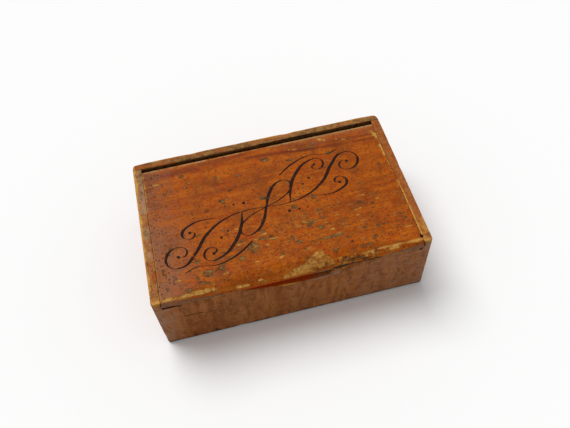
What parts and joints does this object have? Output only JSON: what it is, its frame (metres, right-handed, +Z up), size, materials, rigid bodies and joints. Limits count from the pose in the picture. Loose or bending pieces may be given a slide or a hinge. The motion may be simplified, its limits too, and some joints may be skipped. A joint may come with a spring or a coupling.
{
  "type": "pin box",
  "caption": "Small worn wooden box for pins, with a dovetailed lid that slides out over a thumb scoop in the front board.",
  "frame": {"origin": "on the table, under the middle of the box's foot", "axes": "+X along the length, to the right as the thumb scoop faces the viewer; +Y to the back board; +Z up. The lid slides out along -Y."},
  "size_m": [0.1, 0.063, 0.031],
  "materials": {
    "case_wood": "worn brown stain and varnish",
    "lid_wood": "worn orange varnish",
    "bare_wood": "unvarnished",
    "brad_iron": "darkened iron"
  },
  "bodies": {
    "box": {"front_board": "case_wood", "back_board": "case_wood", "left_end": "case_wood", "right_end": "case_wood", "bottom_board": "bare_wood", "corner_brads": "brad_iron", "bottom_brads": "brad_iron"},
    "lid": {"lid": "lid_wood"}
  },
  "joints": [
    {"name": "lid_slide", "type": "slide", "parent": "box", "child": "lid", "axis": [0, -1, 0], "range_m": [-0.0016, 0.064]}
  ]
}
